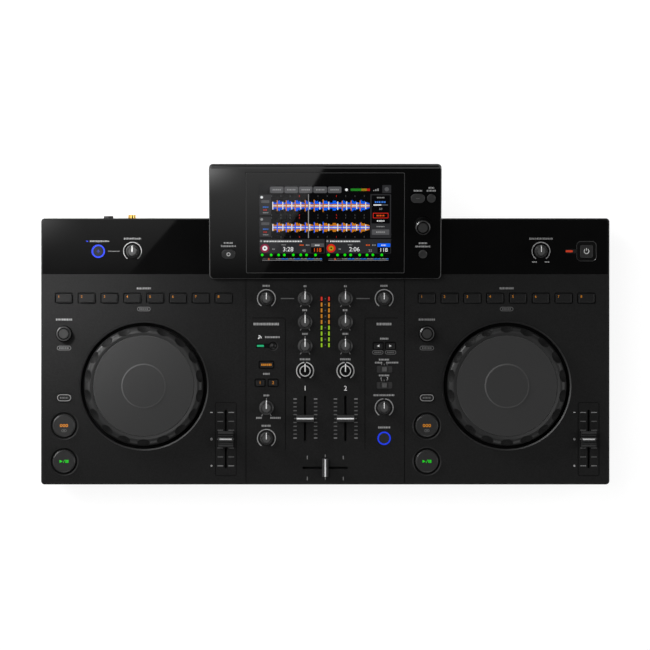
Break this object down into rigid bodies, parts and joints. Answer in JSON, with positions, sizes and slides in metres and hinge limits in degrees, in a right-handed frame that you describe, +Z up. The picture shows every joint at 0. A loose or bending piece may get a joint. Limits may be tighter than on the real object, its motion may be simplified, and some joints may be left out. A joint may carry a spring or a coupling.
{
  "type": "all-in-one dj system",
  "caption": "Low wide console with paired jog wheels, a central mixer of knobs and faders, pad rows, and a tilted touch screen that overhangs the rear edge.",
  "frame": {"origin": "on the table, under the middle of the whole outline, screen included", "axes": "+X to the right and +Y to the rear for someone playing it, +Z up"},
  "size_m": [0.648, 0.3644, 0.101],
  "materials": {
    "shell_matte": "fine textured black moulding",
    "gloss_black": "polished black",
    "tray_black": "moulded black",
    "jog_rim": "satin black",
    "jog_plate": "satin dark grey",
    "knob_black": "soft black",
    "key_rubber": "smooth black rubber",
    "button_black": "satin black",
    "cover_glass": "dark cover glass",
    "display": "display panel",
    "board_green": "solder mask",
    "plated_steel": "plated",
    "socket_gold": "gold plated",
    "foot_rubber": "matt rubber",
    "light_guide": "lit diffuser",
    "socket_metal": "nickel plated"
  },
  "bodies": {
    "chassis": {"base_tray": "tray_black", "top_panel": "shell_matte", "rear_gloss_panel": "gloss_black", "screen_bezel": "gloss_black", "touch_glass": "cover_glass", "display_module": "display", "screen_back_shell": "tray_black", "circuit_boards": "board_green", "potentiometers": "plated_steel", "fader_units": "plated_steel", "jog_bearings": "plated_steel", "audio_sockets": "socket_gold", "usb_sockets": "socket_metal", "rubber_feet": "foot_rubber", "case_screws": "plated_steel", "light_guides": "light_guide"},
    "jog_left": {"jog_wheel_left": "jog_rim", "jog_plate_left": "jog_plate"},
    "jog_right": {"jog_wheel_right": "jog_rim", "jog_plate_right": "jog_plate"},
    "play_button_left": {"play_button_left": "button_black"},
    "play_button_right": {"play_button_right": "button_black"},
    "cue_button_left": {"cue_button_left": "button_black"},
    "cue_button_right": {"cue_button_right": "button_black"},
    "crossfader": {"crossfader": "knob_black"},
    "channel_fader_1": {"channel_fader_1": "knob_black"},
    "channel_fader_2": {"channel_fader_2": "knob_black"},
    "tempo_slider_left": {"tempo_slider_left": "knob_black"},
    "tempo_slider_right": {"tempo_slider_right": "knob_black"},
    "loop_knob_left": {"loop_knob_left": "knob_black"},
    "loop_knob_right": {"loop_knob_right": "knob_black"},
    "pad_mat_left": {"pad_mat_left": "key_rubber"},
    "pad_mat_right": {"pad_mat_right": "key_rubber"},
    "browse_knob": {"browse_knob": "knob_black"},
    "trim_knob_1": {"trim_knob_1": "knob_black"},
    "trim_knob_2": {"trim_knob_2": "knob_black"},
    "high_knob_1": {"high_knob_1": "knob_black"},
    "high_knob_2": {"high_knob_2": "knob_black"},
    "mid_knob_1": {"mid_knob_1": "knob_black"},
    "mid_knob_2": {"mid_knob_2": "knob_black"},
    "low_knob_1": {"low_knob_1": "knob_black"},
    "low_knob_2": {"low_knob_2": "knob_black"},
    "color_knob_1": {"color_knob_1": "knob_black"},
    "color_knob_2": {"color_knob_2": "knob_black"},
    "phones_mix_knob": {"phones_mix_knob": "knob_black"},
    "phones_level_knob": {"phones_level_knob": "knob_black"},
    "fx_depth_knob": {"fx_depth_knob": "knob_black"},
    "mic_level_knob": {"mic_level_knob": "knob_black"},
    "master_level_knob": {"master_level_knob": "knob_black"},
    "fx_switch": {"fx_switch": "knob_black"},
    "channel_switch": {"channel_switch": "knob_black"},
    "shift_key_left": {"shift_key_left": "key_rubber"},
    "shift_key_right": {"shift_key_right": "key_rubber"},
    "mic_button": {"mic_button": "button_black"},
    "fx_button": {"fx_button": "button_black"},
    "power_button": {"power_button": "button_black"},
    "pairing_button": {"pairing_button": "button_black"},
    "phones_keys": {"phones_keys": "key_rubber"},
    "beat_keys": {"beat_keys": "key_rubber"},
    "screen_keys": {"screen_keys": "key_rubber"}
  },
  "joints": [
    {"name": "jog_left_turn", "type": "hinge", "parent": "chassis", "child": "jog_left", "pos_m": [-0.2068, -0.06979, 0.058], "axis": [0, 0, -1], "continuous": true},
    {"name": "jog_right_turn", "type": "hinge", "parent": "chassis", "child": "jog_right", "pos_m": [0.2068, -0.06979, 0.058], "axis": [0, 0, -1], "continuous": true},
    {"name": "play_button_left_press", "type": "slide", "parent": "chassis", "child": "play_button_left", "axis": [0, 0, -1], "range_m": [0, 0.0008], "stiffness_N_per_m": 300, "springref_m": -0.002},
    {"name": "play_button_right_press", "type": "slide", "parent": "chassis", "child": "play_button_right", "axis": [0, 0, -1], "range_m": [0, 0.0008], "stiffness_N_per_m": 300, "springref_m": -0.002},
    {"name": "cue_button_left_press", "type": "slide", "parent": "chassis", "child": "cue_button_left", "axis": [0, 0, -1], "range_m": [0, 0.0008], "stiffness_N_per_m": 300, "springref_m": -0.002},
    {"name": "cue_button_right_press", "type": "slide", "parent": "chassis", "child": "cue_button_right", "axis": [0, 0, -1], "range_m": [0, 0.0008], "stiffness_N_per_m": 300, "springref_m": -0.002},
    {"name": "crossfader_slide", "type": "slide", "parent": "chassis", "child": "crossfader", "axis": [1, 0, 0], "range_m": [-0.0225, 0.0225]},
    {"name": "channel_fader_1_slide", "type": "slide", "parent": "chassis", "child": "channel_fader_1", "axis": [0, 1, 0], "range_m": [-0.0225, 0.0225]},
    {"name": "channel_fader_2_slide", "type": "slide", "parent": "chassis", "child": "channel_fader_2", "axis": [0, 1, 0], "range_m": [-0.0225, 0.0225]},
    {"name": "tempo_slider_left_slide", "type": "slide", "parent": "chassis", "child": "tempo_slider_left", "axis": [0, 1, 0], "range_m": [-0.03, 0.03]},
    {"name": "tempo_slider_right_slide", "type": "slide", "parent": "chassis", "child": "tempo_slider_right", "axis": [0, 1, 0], "range_m": [-0.03, 0.03]},
    {"name": "loop_knob_left_turn", "type": "hinge", "parent": "chassis", "child": "loop_knob_left", "pos_m": [-0.2978, -0.01039, 0.058], "axis": [0, 0, -1], "continuous": true},
    {"name": "loop_knob_right_turn", "type": "hinge", "parent": "chassis", "child": "loop_knob_right", "pos_m": [0.1158, -0.01039, 0.058], "axis": [0, 0, -1], "continuous": true},
    {"name": "pad_mat_left_press", "type": "slide", "parent": "chassis", "child": "pad_mat_left", "axis": [0, 0, -1], "range_m": [0, 0.0008], "stiffness_N_per_m": 300, "springref_m": -0.002},
    {"name": "pad_mat_right_press", "type": "slide", "parent": "chassis", "child": "pad_mat_right", "axis": [0, 0, -1], "range_m": [0, 0.0008], "stiffness_N_per_m": 300, "springref_m": -0.002},
    {"name": "browse_knob_turn", "type": "hinge", "parent": "chassis", "child": "browse_knob", "pos_m": [0.1107, 0.11295, 0.08326], "axis": [0, 0.2588, -0.9659], "continuous": true},
    {"name": "trim_knob_1_turn", "type": "hinge", "parent": "chassis", "child": "trim_knob_1", "pos_m": [-0.0671, 0.02981, 0.058], "axis": [0, 0, -1], "range_deg": [-150, 150]},
    {"name": "trim_knob_2_turn", "type": "hinge", "parent": "chassis", "child": "trim_knob_2", "pos_m": [0.0671, 0.02981, 0.058], "axis": [0, 0, -1], "range_deg": [-150, 150]},
    {"name": "high_knob_1_turn", "type": "hinge", "parent": "chassis", "child": "high_knob_1", "pos_m": [-0.023, 0.02981, 0.058], "axis": [0, 0, -1], "range_deg": [-150, 150]},
    {"name": "high_knob_2_turn", "type": "hinge", "parent": "chassis", "child": "high_knob_2", "pos_m": [0.023, 0.02981, 0.058], "axis": [0, 0, -1], "range_deg": [-150, 150]},
    {"name": "mid_knob_1_turn", "type": "hinge", "parent": "chassis", "child": "mid_knob_1", "pos_m": [-0.023, 0.00301, 0.058], "axis": [0, 0, -1], "range_deg": [-150, 150]},
    {"name": "mid_knob_2_turn", "type": "hinge", "parent": "chassis", "child": "mid_knob_2", "pos_m": [0.023, 0.00301, 0.058], "axis": [0, 0, -1], "range_deg": [-150, 150]},
    {"name": "low_knob_1_turn", "type": "hinge", "parent": "chassis", "child": "low_knob_1", "pos_m": [-0.023, -0.02419, 0.058], "axis": [0, 0, -1], "range_deg": [-150, 150]},
    {"name": "low_knob_2_turn", "type": "hinge", "parent": "chassis", "child": "low_knob_2", "pos_m": [0.023, -0.02419, 0.058], "axis": [0, 0, -1], "range_deg": [-150, 150]},
    {"name": "color_knob_1_turn", "type": "hinge", "parent": "chassis", "child": "color_knob_1", "pos_m": [-0.023, -0.05269, 0.058], "axis": [0, 0, -1], "range_deg": [-150, 150]},
    {"name": "color_knob_2_turn", "type": "hinge", "parent": "chassis", "child": "color_knob_2", "pos_m": [0.023, -0.05269, 0.058], "axis": [0, 0, -1], "range_deg": [-150, 150]},
    {"name": "phones_mix_knob_turn", "type": "hinge", "parent": "chassis", "child": "phones_mix_knob", "pos_m": [-0.0671, -0.09469, 0.058], "axis": [0, 0, -1], "range_deg": [-150, 150]},
    {"name": "phones_level_knob_turn", "type": "hinge", "parent": "chassis", "child": "phones_level_knob", "pos_m": [-0.0671, -0.12959, 0.058], "axis": [0, 0, -1], "range_deg": [-150, 150]},
    {"name": "fx_depth_knob_turn", "type": "hinge", "parent": "chassis", "child": "fx_depth_knob", "pos_m": [0.0671, -0.09469, 0.058], "axis": [0, 0, -1], "range_deg": [-150, 150]},
    {"name": "mic_level_knob_turn", "type": "hinge", "parent": "chassis", "child": "mic_level_knob", "pos_m": [-0.2198, 0.08371, 0.058], "axis": [0, 0, -1], "range_deg": [-150, 150]},
    {"name": "master_level_knob_turn", "type": "hinge", "parent": "chassis", "child": "master_level_knob", "pos_m": [0.2459, 0.08371, 0.058], "axis": [0, 0, -1], "range_deg": [-150, 150]},
    {"name": "fx_switch_slide", "type": "slide", "parent": "chassis", "child": "fx_switch", "axis": [1, 0, 0], "range_m": [-0.002, 0.002]},
    {"name": "channel_switch_slide", "type": "slide", "parent": "chassis", "child": "channel_switch", "axis": [1, 0, 0], "range_m": [-0.002, 0.002]},
    {"name": "shift_key_left_press", "type": "slide", "parent": "chassis", "child": "shift_key_left", "axis": [0, 0, -1], "range_m": [0, 0.0008], "stiffness_N_per_m": 300, "springref_m": -0.002},
    {"name": "shift_key_right_press", "type": "slide", "parent": "chassis", "child": "shift_key_right", "axis": [0, 0, -1], "range_m": [0, 0.0008], "stiffness_N_per_m": 300, "springref_m": -0.002},
    {"name": "mic_button_press", "type": "slide", "parent": "chassis", "child": "mic_button", "axis": [0, 0, -1], "range_m": [0, 0.0008], "stiffness_N_per_m": 300, "springref_m": -0.002},
    {"name": "fx_button_press", "type": "slide", "parent": "chassis", "child": "fx_button", "axis": [0, 0, -1], "range_m": [0, 0.0008], "stiffness_N_per_m": 300, "springref_m": -0.002},
    {"name": "power_button_press", "type": "slide", "parent": "chassis", "child": "power_button", "axis": [0, 0, -1], "range_m": [0, 0.0008], "stiffness_N_per_m": 300, "springref_m": -0.002},
    {"name": "pairing_button_press", "type": "slide", "parent": "chassis", "child": "pairing_button", "axis": [0, 0, -1], "range_m": [0, 0.0008], "stiffness_N_per_m": 300, "springref_m": -0.002},
    {"name": "phones_keys_press", "type": "slide", "parent": "chassis", "child": "phones_keys", "axis": [0, 0, -1], "range_m": [0, 0.0008], "stiffness_N_per_m": 300, "springref_m": -0.002},
    {"name": "beat_keys_press", "type": "slide", "parent": "chassis", "child": "beat_keys", "axis": [0, 0, -1], "range_m": [0, 0.0008], "stiffness_N_per_m": 300, "springref_m": -0.002},
    {"name": "screen_keys_press", "type": "slide", "parent": "chassis", "child": "screen_keys", "axis": [0, 0.2588, -0.9659], "range_m": [0, 0.0008], "stiffness_N_per_m": 300, "springref_m": -0.002}
  ]
}
